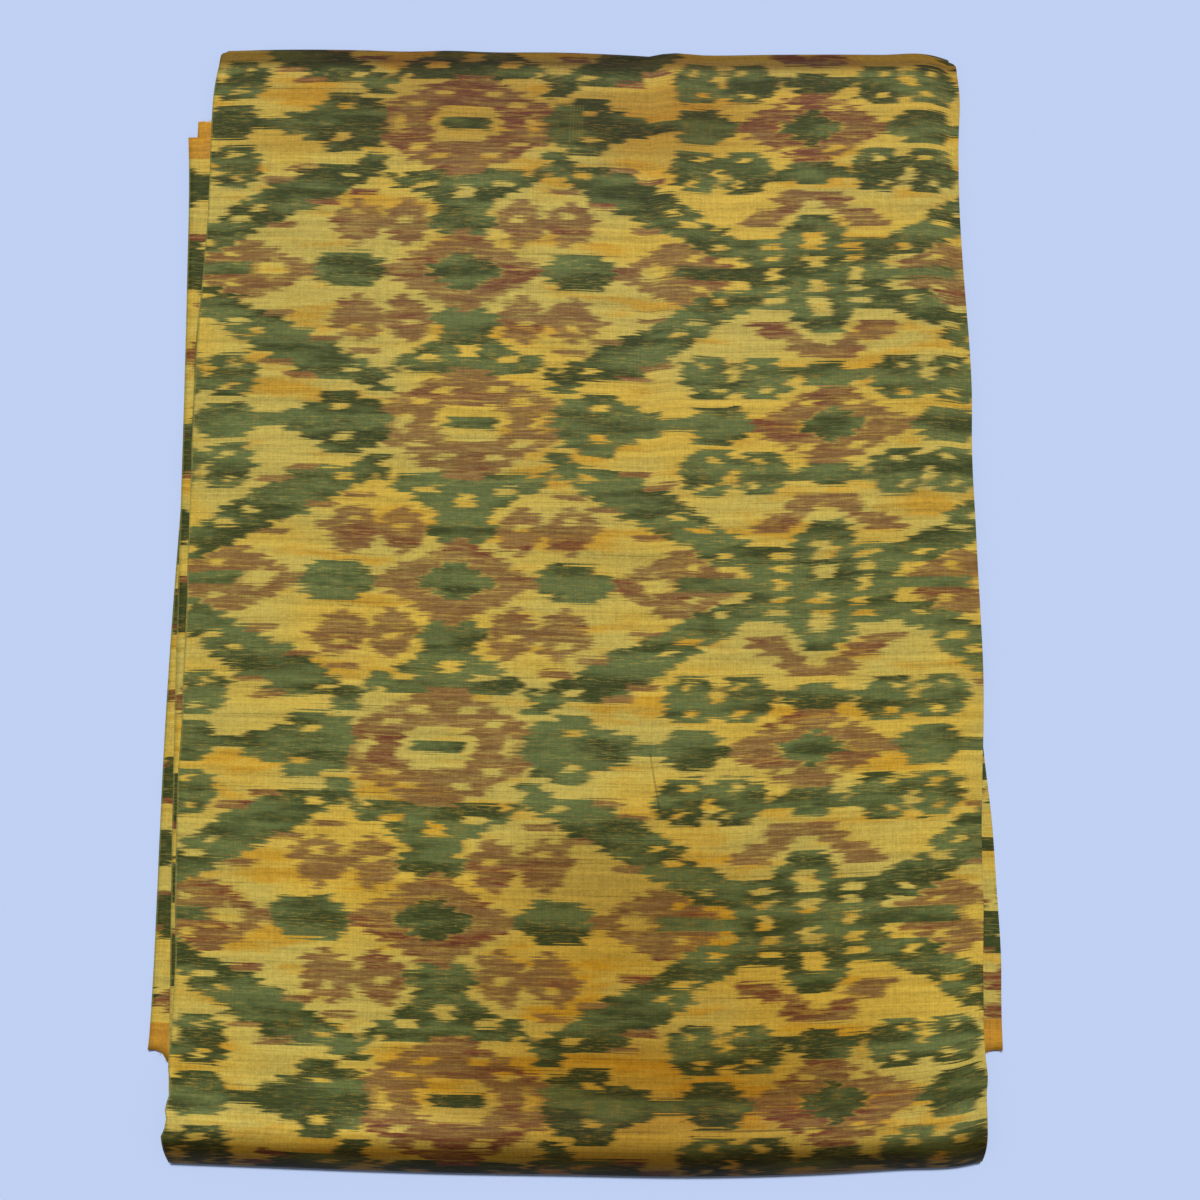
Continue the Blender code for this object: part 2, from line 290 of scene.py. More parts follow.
def clothGrid():
    # the doubled cloth: each row's path, moved out at right angles to it by the halves' radius.
    # v runs along the path at a quarter of the columns and is 0 where the top panel crosses y = 0
    share, angle, u = hairpin(cloth)
    middle, top, bottom = (panelRows(name, share, angle) for name in ("middle", "top", "bottom"))
    lower = foldRows(middle[-1], top[0], "bottom", share, angle)
    upper = foldRows(top[-1], bottom[0], "top", share, angle)
    path = np.array(middle + lower + top + upper + bottom)
    x, y, z = path.transpose(1, 0, 2)
    alongY, alongZ = np.gradient(y, axis=0), np.gradient(z, axis=0)
    size = np.hypot(alongY, alongZ)
    out = cloth["halfRadius"] * np.cos(angle)
    points = np.stack([x + cloth["halfRadius"] * np.sin(angle), y - out * alongZ / size,
                       z + out * alongY / size], axis=-1)
    measured = len(share) // 4
    steps = np.linalg.norm(np.diff(path[:, 1:3, measured], axis=0), axis=1)
    v = np.concatenate([[0], np.cumsum(steps)])
    first = len(middle) + len(lower)
    v = v - np.interp(0, path[first:first + len(top), 1, measured], v[first:first + len(top)])
    crestsV = (v[len(middle) + len(lower) // 2], v[first + len(top) + len(upper) // 2])
    return points, u, v, crestsV


def gridMesh(name, points, u, v):
    # one quad between each four neighbours; UV is the place on the flat cloth, in metres
    rows, columns = points.shape[:2]
    corner = np.arange(rows * columns).reshape(rows, columns)
    quads = np.stack([corner[:-1, :-1], corner[:-1, 1:], corner[1:, 1:], corner[1:, :-1]], axis=-1)
    mesh = bpy.data.meshes.new(name)
    mesh.from_pydata(points.reshape(-1, 3), [], quads.reshape(-1, 4))
    flat = np.stack(np.broadcast_arrays(u[None, :], v[:, None]), axis=-1).reshape(-1, 2)
    layer = mesh.uv_layers.new(name="flatCloth")
    layer.data.foreach_set("uv", flat[quads.reshape(-1)].astype(np.float32).ravel())
    mesh.shade_smooth()
    obj = bpy.data.objects.new(name, mesh)
    bpy.context.scene.collection.objects.link(obj)
    return obj


# The repeat of the weft ikat, drawn in mm from a rosette's middle to the corner that mirrors it
repeat = {"bundles": 25, "wide": 235.0, "tall": 104.5, "columns": 118, "feather": 9.0,
          "changes": 15}  # in one bundle: a ramp holds 32 stops, two for each change

# Motifs in the order they are dyed: form, dye, centre across and along, half-width, half-height.
# inMotif says what a wedge's and a slanting band's sizes are
motifs = (
    ("bar", "green", 222, 80, 6, 11),
    ("bar", "green", 235, 73, 17, 3),
    ("bar", "green", 210, 82, 18, 2.1),
    ("bar", "green", 235, 90, 45, 2.1),
    ("bar", "green", 235, 101, 62, 4.2),
    ("bar", "green", 222, 95, 6, 7),
    ("bar", "green", 195, 95, 8, 7),
    ("bar", "plain", 235, 99, 6, 2.4),
    ("bar", "plain", 209, 103, 5, 2.4),
    ("bar", "plain", 183, 99, 7, 2.4),
    ("lozenge", "brown", 143, 104.5, 47, 23),
    ("lozenge", "plain", 127, 104.5, 13, 8),
    ("oval", "plain", 154, 93, 6, 2.6),
    ("oval", "green", 166, 104.5, 27, 6),
    ("lozenge", "brown", 0, 0, 80, 41),
    ("oval", "plain", 0, 0, 27, 14),
    ("lozenge", "green", 0, 0, 25, 6),
    ("oval", "plain", 45, 4, 7, 2.6),
    ("oval", "plain", 33, 13, 8, 2.6),
    ("oval", "plain", 17, 22, 7.5, 2.6),
    ("slant", "green", 58, 20, 66, 30, 8),
    ("slant", "green", 72, 28, 106, 46, 27),
    ("slant", "green", 106, 46, 134, 64, 28),
    ("slant", "green", 134, 64, 190, 92, 22),
    ("oval", "plain", 78, 37, 7, 2.6),
    ("oval", "plain", 138, 61, 5.5, 2.6),
    ("oval", "plain", 150, 70, 7, 2.6),
    ("oval", "plain", 172, 86, 5.5, 2.6),
    ("bar", "brown", 108, 31, 9, 2.2),
    ("bar", "brown", 124, 40, 9, 2.2),
    ("oval", "brown", 66, 47, 10, 2.4),
    ("oval", "brown", 92, 57, 9, 2.4),
    ("oval", "brown", 122, 74, 10, 2.4),
    ("wedge", "green", 0, 32, 58, 46, 12),
    ("wedge", "green", 0, 44, 42, 17, 14),
    ("oval", "green", 0, 71, 23, 8),
    ("bar", "green", 0, 61, 16, 9),
    ("oval", "plain", 25, 43.5, 8, 2.4),
    ("oval", "plain", 43, 36, 4, 2),
    ("lozenge", "plain", 0, 50.5, 14, 4),
    ("bar", "brown", 0, 31, 11, 7),
    ("lozenge", "brown", 0, 104.5, 56, 29),
    ("lozenge", "plain", 0, 104.5, 30, 16),
    ("lozenge", "green", 0, 104.5, 28, 15),
    ("blunt", "green", 77, 104.5, 28, 12.5),
    ("oval", "brown", 38, 71, 14, 15),
    ("oval", "brown", 71, 71, 15, 15),
    ("bar", "brown", 56, 68, 33, 2.2),
    ("oval", "plain", 38, 69, 5.5, 2.6),
    ("oval", "plain", 71, 65, 5.5, 2.6),
    ("oval", "green", 82, 5, 28, 15),
    ("lozenge", "green", 104, 0, 42, 11),
    ("blunt", "green", 160, 0, 25, 11),
    ("oval", "plain", 84, 9, 7, 2.6),
    ("oval", "plain", 100, 14, 5.5, 2.6),
    ("oval", "green", 156, 31, 18, 15),
    ("oval", "green", 189, 31, 18, 15),
    ("bar", "green", 172, 22, 26, 2.6),
    ("oval", "plain", 158, 24, 6, 2.6),
    ("oval", "plain", 188, 24, 5.5, 2.6),
    ("oval", "plain", 171, 35, 6, 5),
    ("oval", "plain", 154, 38, 5.5, 2.6),
    ("oval", "plain", 186, 38, 5.5, 2.6),
    ("lozenge", "brown", 235, 0, 56, 29),
    ("lozenge", "plain", 235, 0, 27, 14),
    ("lozenge", "green", 235, 0, 24, 13),
    ("oval", "plain", 219, 15, 5.5, 2.6),
    ("blunt", "green", 235, 32, 22, 8),
    ("slant", "brown", 234, 44, 195, 70, 12),
    ("oval", "green", 235, 69, 13, 6),
    ("oval", "plain", 208, 56, 5.5, 2.6),
)
dyes = {"plain": 0, "green": 1, "brown": 2}


def inMotif(form, x, y, cx, cy, a, b, *more):
    dx, dy = np.abs(x - cx), np.abs(y - cy)
    if form == "lozenge":  # |x|/a + |y|/b < 1
        return dx / a + dy / b < 1
    if form == "blunt":  # |x|/a + 0.55 |y|/b < 1, cut flat where |y| reaches b
        return (dx / a + 0.55 * dy / b < 1) & (dy < b)
    if form == "oval":  # (x/a)^2 + (y/b)^2 < 1
        return (dx / a) ** 2 + (dy / b) ** 2 < 1
    if form == "bar":
        return (dx < a) & (dy < b)
    if form == "wedge":  # from half-width a at its top to half-width b, over a height
        share = (y - cy) / more[0]
        return (share >= 0) & (share < 1) & (dx < a + (b - a) * share)
    share = (y - cy) / (b - cy)  # a slanting band from (cx, cy) to (a, b), with its half-width
    return (share >= 0) & (share < 1) & (np.abs(x - cx - (a - cx) * share) < more[0])


def chartRepeat():
    # one dye number for each bundle of weft and each small step across
    y = (np.arange(repeat["bundles"]) + 0.5) * repeat["tall"] / repeat["bundles"]
    x = (np.arange(repeat["columns"]) + 0.5) * repeat["wide"] / repeat["columns"]
    x, y = np.meshgrid(x, y)
    chart = np.zeros(x.shape, int)
    for form, dye, *sizes in motifs:
        chart[inMotif(form, x, y, *sizes)] = dyes[dye]
    return chart


def bundleStops(dyeRow):
    # a ramp's stops: the dye bled over the feather's width, which bends half a width from each
    # change. Red holds green dye, green holds brown
    half = repeat["feather"] / repeat["wide"] / 2
    changes = (np.flatnonzero(np.diff(dyeRow)) + 1)[:repeat["changes"]] / repeat["columns"]
    places = np.sort(np.concatenate([[0], changes - half, changes + half]).clip(0, 1))
    at = (np.arange(-repeat["columns"], 2 * repeat["columns"]) + 0.5) / repeat["columns"]
    dyeAround = np.concatenate([dyeRow[::-1], dyeRow, dyeRow[::-1]])
    stops = []
    for place in places:
        around = dyeAround[np.abs(at - place) < half]
        stops.append((place, (float(np.mean(around == 1)), float(np.mean(around == 2)), 0, 1)))
    return stops


def driftStops():
    # the drift as greys: 0.5 is none
    reach, scale = dyeing["driftReach"], dyeing["driftScale"]
    stops = []
    for along, move in dyeing["drift"].items():
        grey = 0.5 + move * mm / scale
        stops.append((along * mm / (2 * reach) + 0.5, (grey, grey, grey, 1)))
    return stops


class Value:
    # a shader socket that takes + - * / and < as Math nodes. Any other node comes from make, with
    # its settings, then its sockets' values or links
    def __init__(self, tree, socket):
        self.tree, self.socket = tree, socket

    def make(self, kind, settings=None, sockets=None, out=0):
        node = self.tree.nodes.new(kind)
        for key, value in (settings or {}).items():
            if key == "stops":
                ramp = node.color_ramp
                while len(ramp.elements) > 1:
                    ramp.elements.remove(ramp.elements[-1])
                ramp.elements[0].position, ramp.elements[0].color = value[0]
                for place, colour in value[1:]:
                    ramp.elements.new(place).color = colour
            else:
                setattr(node, key, value)
        for key, value in (sockets or {}).items():
            if isinstance(value, Value):
                self.tree.links.new(value.socket, node.inputs[key])
            else:
                node.inputs[key].default_value = value
        return Value(self.tree, node.outputs[out])

    def math(self, operation, *others):
        values = dict(enumerate((self, *others)))
        return self.make("ShaderNodeMath", {"operation": operation}, values)

    def __add__(self, other):
        return self.math("ADD", other)

    def __sub__(self, other):
        return self.math("SUBTRACT", other)

    def __rsub__(self, other):
        return self.make("ShaderNodeMath", {"operation": "SUBTRACT"}, {0: other, 1: self})

    def __mul__(self, other):
        return self.math("MULTIPLY", other)

    def __truediv__(self, other):
        return self.math("DIVIDE", other)

    def __lt__(self, other):
        return self.math("LESS_THAN", other)

    __radd__ = __add__
    __rmul__ = __mul__

    def clamped(self):
        return self.make("ShaderNodeClamp", {}, {0: self})

    def between(self, low, high):  # a smooth step from 0 at low to 1 at high
        return self.make("ShaderNodeMapRange", {"interpolation_type": "SMOOTHSTEP"},
                         {"Value": self, "From Min": low, "From Max": high})

    def mixed(self, first, second, blend="MIX"):  # colours, with self as the factor
        return self.make("ShaderNodeMix", {"data_type": "RGBA", "blend_type": blend},
                         {0: self, 6: first, 7: second}, 2)

    def joined(self, second):
        return self.make("ShaderNodeCombineXYZ", {}, {0: self, 1: second})

    def noise(self, second, across, along, detail, rough):  # with its waves a metre both ways
        place = (self * across).joined(second * along)
        return self.make("ShaderNodeTexNoise", {"noise_dimensions": "2D"},
                         {"Vector": place, "Scale": 1.0, "Detail": detail, "Roughness": rough})


# Dyes, threads and gloss
silk = {
    "yellow": (0.790, 0.530, 0.072, 1),
    "olive": (0.680, 0.530, 0.112, 1),
    "amber": (0.710, 0.365, 0.018, 1),
    "green": (0.044, 0.064, 0.016, 1),
    "paleGreen": (0.150, 0.192, 0.060, 1),
    "brown": (0.265, 0.130, 0.040, 1),
    "maroon": (0.200, 0.046, 0.022, 1),
    "tan": (0.430, 0.275, 0.095, 1),
    "orange": (0.620, 0.285, 0.036, 1),
    "selvedge": (0.420, 0.410, 0.120, 1),
    "darkThread": (0.035, 0.028, 0.014, 1),
    "grainShade": (0.02, 0.016, 0.006, 1),
    "sheenTint": (1.0, 0.93, 0.78, 1),
    "sheen": 0.01,
    "sheenRoughness": 0.4,
    "specular": 0.09,
    "roughness": 0.55,
}

# How the dyed weft lies on the cloth
dyeing = {
    "rosetteAcross": 170 * mm,  # selvedge to the first column of rosettes
    "mirrorRow": 1.5 * mm,  # the row of lozenges nearest the top panel's middle
    "rowStretch": 0.06,  # how much closer together the rows were beaten towards one end
    "rowScale": 0.997,
    "rowWave": 5 * mm,
    "strayRows": 1.4,  # in bundles
    "bundleNoise": (3, 1, 1, 0.5),  # that shifts whole bundles, laid out as the clouds below
    "bundleApart": 7.31,  # in that noise
    "bundleShift": 9 * mm,
    "threadShift": 15 * mm,
    "fineShift": 8 * mm,
    # how far the dyed motifs sit to the right, in mm, at places along the top panel
    "drift": {-340: 9, -313: 7, -208: -9, -104: -7, 0: 2, 104: 12, 208: 3, 313: 3, 340: 4},
    "driftReach": 0.5,
    "driftScale": 0.06,
    "featherSpread": 2.4,  # how ragged a feathered edge is
    "taken": (0.16, 0.70),  # dye that shows, from none to all
    "bareLeast": 0.14,
    "halo": 0.42,
    "haloDye": (0.0, 0.5),
    "haloStreak": (0.36, 0.60),
}

# How the dyes' depth changes over the cloth, and the shade painted on it, in metres from the top
# panel's middle.
# A pair beside a dye is where its noise steps from the deeper dye to the paler, or to the redder
shades = {
    "yellow": (0.40, 0.62),
    "green": (0.38, 0.66),
    "greenMiddle": 0.24,
    "greenSlope": 0.35,
    "maroon": (0.52, 0.71),
    # how much redder the browns get towards the folds, and over which smooth step
    "redder": {"both": (0.12, 0.28, 0.06), "top": (0.28, 0.32, 0.16), "bottom": (0.33, 0.345, 0.2)},
    # darker, more amber patches, mostly near the folds: painted shade, partly deeper dye. In mm:
    # centre across and along, half-lengths, how much
    "shadePatches": ((295, -265, 170, 110, 0.42), (170, 322, 95, 36, 0.35), (300, 312, 75, 28, 0.50),
                (275, -180, 75, 50, 0.25), (300, -318, 170, 40, 0.45), (60, 300, 60, 12, 0.3),
                (250, 330, 260, 50, 0.22)),
    "shadePatchFade": 1.4,
    "shadePatchAmber": 0.6,
    "shadePatchTint": (0.57, 0.47, 0.28, 1),
    # painted shade along the bottom and top folds, darker where the cloth rolls away from the
    # light: how far from the crest it fades, how much, the tint
    "foldShadeFrom": (15 * mm, 9.5 * mm),
    "foldShadeTo": (31 * mm, 18 * mm),
    "foldShadeMost": (0.95, 0.92),
    "foldShadeUneven": 0.4,
    "foldShadeTint": (0.30, 0.215, 0.06, 1),
}

# Noise over the flat cloth: waves a metre across and along, detail, roughness, and where it has
# them a smooth step from 0 to 1 and how much of that is taken
clouds = {
    "streak": (10, 380, 2, 0.5),
    "fine": (16, 800, 1, 0.5),
    "waving": (13, 26, 2, 0.5),
    "bare": (110, 1100, 3, 0.7, 0.46, 0.70),
    "worn": (9, 110, 3, 0.6, 0.36, 0.66, 0.27),
    "stray": (40, 900, 2, 0.6, 0.64, 0.76, 0.25),
    "spread": (24, 700, 2, 0.6),
    "brownGaps": (34, 560, 3, 0.7, 0.47, 0.70, 0.6),
    "slow": (7, 14, 2, 0.5),
    "weft": (16, 1100, 3, 0.6),
    "glow": (10, 45, 3, 0.6, 0.50, 0.70, 0.8),
    "greenDepth": (14, 70, 3, 0.6),
    "redness": (12, 60, 3, 0.6),
    "tanThreads": (26, 420, 3, 0.65, 0.46, 0.70, 0.45),
    "stripes": (700, 6, 2, 0.5, 0.35, 0.70, 0.6),
    "darkWeft": (9, 0, 2, 0.5, 0.42, 0.60),
    "sand": (900, 1100, 2, 0.7),
    "mottle": (260, 420, 3, 0.7),
    "bands": (9, 210, 3, 0.6),
    "thickWeft": (6, 800, 2, 0.5, 0.70, 0.76, 0.3),
    "thickWarp": (820, 34, 2, 0.6, 0.34, 0.68, 0.07),
}

# Threads that stand out, in metres on the flat cloth: middle and half-length across and along
oddThreads = {
    "darkWeft": {"along": (-0.3335, 0.0005)},
    "slub": {"across": (0.2755, 0.0006), "along": (-0.124, 0.019), "slant": 0.2, "depth": 0.6},
    "pale": {"across": (0.247, 0.005), "along": (0.312, 0.013), "perMetre": 500, "depth": 0.22},
    "darkDepth": 0.6,
    "selvedgeDepth": 0.45,
}

# Woven grain: the pitch of warp and weft, how much each noise darkens, and the bump's heights
grain = {
    "warpPitch": 1.1 * mm,
    "weftPitch": 0.9 * mm,
    "shade": 0.08,
    "shades": {"sand": (0.30, 0.66, 0.12), "weft": (0.30, 0.70, 0.13), "mottle": (0.36, 0.66, 0.10),
               "bands": (0.34, 0.68, 0.15)},
    "relief": {"weft": 0.9, "sand": 0.5},
    "reliefOfGrain": 0.35,
    "bump": {"Strength": 0.28, "Distance": 0.25 * mm},
    "weftRoughness": 0.12,
    "dyeRoughness": 0.06,
}


def cloudOf(name, u, v):
    # the noise in that row of the table, stepped and scaled where the row says so
    across, along, detail, rough, *step = clouds[name]
    value = u.noise(v, across, along, detail, rough)
    if step:
        value = value.between(*step[:2])
    return value * step[2] if len(step) > 2 else value


def bundlePlace(start, u, v, cloud):
    # which bundle of weft each place lies in, counted from a mirror row and folded back at both
    # ends of the repeat, and the place along it. The rows wave a little, some threads of a bundle
    # carry the dye of the next one, and each bundle and thread was dyed a little out of place
    wave = (cloud["waving"] - 0.5) * dyeing["rowWave"]
    beaten = v * (v * dyeing["rowStretch"] + dyeing["rowScale"]) + wave
    bundles, tall = repeat["bundles"], repeat["tall"] / repeat["bundles"] * mm
    count = (beaten - dyeing["mirrorRow"]) / tall + (cloud["fine"] - 0.5) * dyeing["strayRows"]
    whole = count.math("FLOOR")
    bundle = (whole + 0.5 + bundles).math("PINGPONG", bundles).math("FLOOR")

    along = v / (2 * dyeing["driftReach"]) + 0.5
    drift = start.make("ShaderNodeValToRGB", {"stops": driftStops()}, {0: along})
    shift = (0.5 - start.make("ShaderNodeRGBToBW", {}, {0: drift})) * dyeing["driftScale"]
    ofBundle = u.noise(whole * dyeing["bundleApart"], *dyeing["bundleNoise"])
    shift = shift + (ofBundle - 0.5) * dyeing["bundleShift"]
    shift = shift + (cloud["streak"] - 0.5) * dyeing["threadShift"]
    shift = shift + (cloud["fine"] - 0.5) * dyeing["fineShift"]
    wide = repeat["wide"] * mm
    place = (u + shift - dyeing["rosetteAcross"] + 4 * wide).math("PINGPONG", wide) / wide
    return bundle, place


def dyeAt(start, bundle, place):
    # the sum of each bundle's own ramp, times 1 where the place lies in that bundle
    dyed = None
    for index, dyeRow in enumerate(chartRepeat()):
        ramp = start.make("ShaderNodeValToRGB", {"stops": bundleStops(dyeRow)}, {0: place})
        chosen = bundle.math("COMPARE", float(index), 0.5)
        part = start.make("ShaderNodeVectorMath", {"operation": "SCALE"},
                          {0: ramp, "Scale": chosen})
        dyed = part if dyed is None else start.make(
            "ShaderNodeVectorMath", {"operation": "ADD"}, {0: dyed, 1: part})
    green = start.make("ShaderNodeSeparateXYZ", {}, {0: dyed}, 0)
    brown = start.make("ShaderNodeSeparateXYZ", {}, {0: dyed}, 1)
    return green, brown


def shadeAndDeepDyePatches(u, v):
    # painted shade, partly deeper dye: each patch is an ellipse that fades out, (x/reach)^2 +
    # (y/breadth)^2 from 0 to its fade
    shadeAndDeepDye = 0
    for across, along, reach, breadth, most in shades["shadePatches"]:
        away = ((u - across * mm) / (reach * mm)).math("POWER", 2)
        away = away + ((v - along * mm) / (breadth * mm)).math("POWER", 2)
        shadeAndDeepDye = ((1 - away.between(0.0, shades["shadePatchFade"])) * most + shadeAndDeepDye).clamped()
    return shadeAndDeepDye


def dyedColour(v, cloud, green, brown, shadeAndDeepDye):
    # the yellow ground, then green, then brown. Undyed specks show through both dyes, and faint
    # dye strays along the weft
    take = 1 - cloud["bare"] * (dyeing["bareLeast"] + cloud["worn"])
    spread = (cloud["spread"] - 0.5) * dyeing["featherSpread"]
    greenTake, brownTake = (
        (dye + dye * (1 - dye) * spread).between(*dyeing["taken"]) * take for dye in (green, brown))
    brownTake = brownTake * (1 - cloud["brownGaps"])
    halo = (green + brown).between(*dyeing["haloDye"])
    halo = halo * cloud["streak"].between(*dyeing["haloStreak"]) * dyeing["halo"]

    ground = cloud["slow"].between(*shades["yellow"]).mixed(silk["olive"], silk["yellow"])
    # the patches' painted shade also turns the ground amber
    amber = (cloud["glow"] + shadeAndDeepDye * shades["shadePatchAmber"]).clamped()
    ground = amber.mixed(ground, silk["amber"])
    ground = cloud["stray"].math("MAXIMUM", halo).mixed(ground, silk["brown"])

    fromMiddle = v.math("ABSOLUTE")
    pale = cloud["greenDepth"] + (shades["greenMiddle"] - fromMiddle) * shades["greenSlope"]
    greens = pale.between(*shades["green"]).mixed(silk["green"], silk["paleGreen"])
    red = cloud["redness"]
    sides = {"both": fromMiddle, "top": v, "bottom": 0 - v}
    for side, (near, far, most) in shades["redder"].items():
        red = red + sides[side].between(near, far) * most
    browns = red.between(*shades["maroon"]).mixed(silk["brown"], silk["maroon"])
    browns = cloud["tanThreads"].mixed(browns, silk["tan"])
    return brownTake.mixed(greenTake.mixed(ground, greens), browns), greenTake


def withEdges(colour, u, v, cloud, ends, fullWidth):
    # a plain orange header with fine warp stripes at both cut ends, and paler selvedges
    atStart = (v - ends[0]) < cloth["headers"][0]
    header = atStart.math("MAXIMUM", (ends[1] - v) < cloth["headers"][1])
    colour = header.mixed(colour, cloud["stripes"].mixed(silk["orange"], silk["amber"]))
    edge = (u < cloth["selvedge"]).math("MAXIMUM", (fullWidth - u) < cloth["selvedge"])
    return (edge * (1 - header) * oddThreads["selvedgeDepth"]).mixed(colour, silk["selvedge"])


def withOddThreads(colour, u, v, cloud):
    # one dark weft, one slanting slub, and a few pale warps
    dark, slub, pale = (oddThreads[name] for name in ("darkWeft", "slub", "pale"))
    darkWeft = v.math("COMPARE", *dark["along"]) * cloud["darkWeft"]
    warps = (u * pale["perMetre"]).math("FRACT")
    warps = warps * u.math("COMPARE", *pale["across"]) * v.math("COMPARE", *pale["along"])
    colour = (warps * pale["depth"]).mixed(colour, silk["selvedge"])
    slant = (u + v * slub["slant"]).math("COMPARE", *slub["across"])
    marks = darkWeft.math("MAXIMUM", slant * v.math("COMPARE", *slub["along"]) * slub["depth"])
    return (marks * oddThreads["darkDepth"]).mixed(colour, silk["darkThread"])


def withGrain(colour, cloud, ribs):
    # the ribs and the uneven threads between them, as a darker shade
    dark = ribs * grain["shade"]
    for name, (low, high, most) in grain["shades"].items():
        dark = dark + cloud[name].between(low, high) * most
    dark = dark + cloud["thickWeft"] + cloud["thickWarp"]
    return dark.mixed(colour, silk["grainShade"])


def withPaintedFoldShade(colour, v, cloud, crestsV):
    # painted shade where each fold rolls away from the light, as a smooth step away from its crest
    for crest, near, far, most in zip(crestsV, shades["foldShadeFrom"], shades["foldShadeTo"], shades["foldShadeMost"]):
        uneven = (cloud["slow"] - 0.5) * shades["foldShadeUneven"] * (far - near)
        fromCrest = (v - float(crest)).math("ABSOLUTE") + uneven
        foldShade = (1 - fromCrest.between(near, far)) * most
        # multiplies the painted fold shade into the colour
        colour = foldShade.mixed(colour, shades["foldShadeTint"], "MULTIPLY")
    return colour


def clothMaterial(ends, fullWidth, crestsV):
    material = bpy.data.materials.new("ikatSilk")
    material.use_nodes = True
    tree = material.node_tree
    shader = tree.nodes["Principled BSDF"]
    start = Value(tree, None)
    uv = start.make("ShaderNodeUVMap", {"uv_map": "flatCloth"})
    u = start.make("ShaderNodeSeparateXYZ", {}, {0: uv}, 0)
    v = start.make("ShaderNodeSeparateXYZ", {}, {0: uv}, 1)
    cloud = {name: cloudOf(name, u, v) for name in clouds}

    bundle, place = bundlePlace(start, u, v, cloud)
    green, brown = dyeAt(start, bundle, place)
    # patches of painted shade, partly deeper dye
    shadeAndDeepDye = shadeAndDeepDyePatches(u, v)
    colour, greenTake = dyedColour(v, cloud, green, brown, shadeAndDeepDye)
    colour = withEdges(colour, u, v, cloud, ends, fullWidth)
    colour = withOddThreads(colour, u, v, cloud)
    warp = (u * (2 * np.pi / grain["warpPitch"])).math("SINE")
    weft = (v * (2 * np.pi / grain["weftPitch"])).math("SINE")
    ribs = warp * weft * 0.5 + 0.5
    colour = withGrain(colour, cloud, ribs)
    # painted shade, partly deeper dye, multiplied in over the patches
    colour = shadeAndDeepDye.mixed(colour, shades["shadePatchTint"], "MULTIPLY")
    # painted shade along both folds
    colour = withPaintedFoldShade(colour, v, cloud, crestsV)

    height = ribs * grain["reliefOfGrain"]
    for name, share in grain["relief"].items():
        height = height + cloud[name] * share
    bump = start.make("ShaderNodeBump", {}, {**grain["bump"], "Height": height})
    rough = silk["roughness"] + grain["weftRoughness"] * (cloud["weft"] - 0.5)
    rough = rough + grain["dyeRoughness"] * greenTake
    tree.links.new(bump.socket, shader.inputs["Normal"])
    tree.links.new(colour.socket, shader.inputs["Base Color"])
    tree.links.new(rough.socket, shader.inputs["Roughness"])
    shader.inputs["Specular IOR Level"].default_value = silk["specular"]
    shader.inputs["Sheen Weight"].default_value = silk["sheen"]
    shader.inputs["Sheen Roughness"].default_value = silk["sheenRoughness"]
    shader.inputs["Sheen Tint"].default_value = silk["sheenTint"]
    return material


def makeCloth():
    points, u, v, crestsV = clothGrid()
    obj = gridMesh("ikatCloth", points, u, v)
    solid = obj.modifiers.new("thickness", "SOLIDIFY")
    solid.thickness = cloth["thickness"]
    solid.offset = 0
    obj.data.materials.append(clothMaterial((float(v[0]), float(v[-1])), float(u[-1]), crestsV))
    print("cloth", points.shape, "width", round(u[-1], 4), "length", round(v[-1] - v[0], 4))
    return obj, points, u, v


# Threads that fray out of both cut ends. Each starts a share of its length inside the cloth
fray = {
    "perEnd": 130,
    "radius": 0.14 * mm,
    "taper": 0.5,
    "shortest": 0.5 * mm,
    "longest": 2.4 * mm,
    "inside": 0.25,
    "bend": 0.55,
    "stations": 6,
    "sides": 3,
    "roughness": 0.6,
    "mottle": 400.0,
    "mottled": (0.35, 0.65),
    "seed": 11,
}


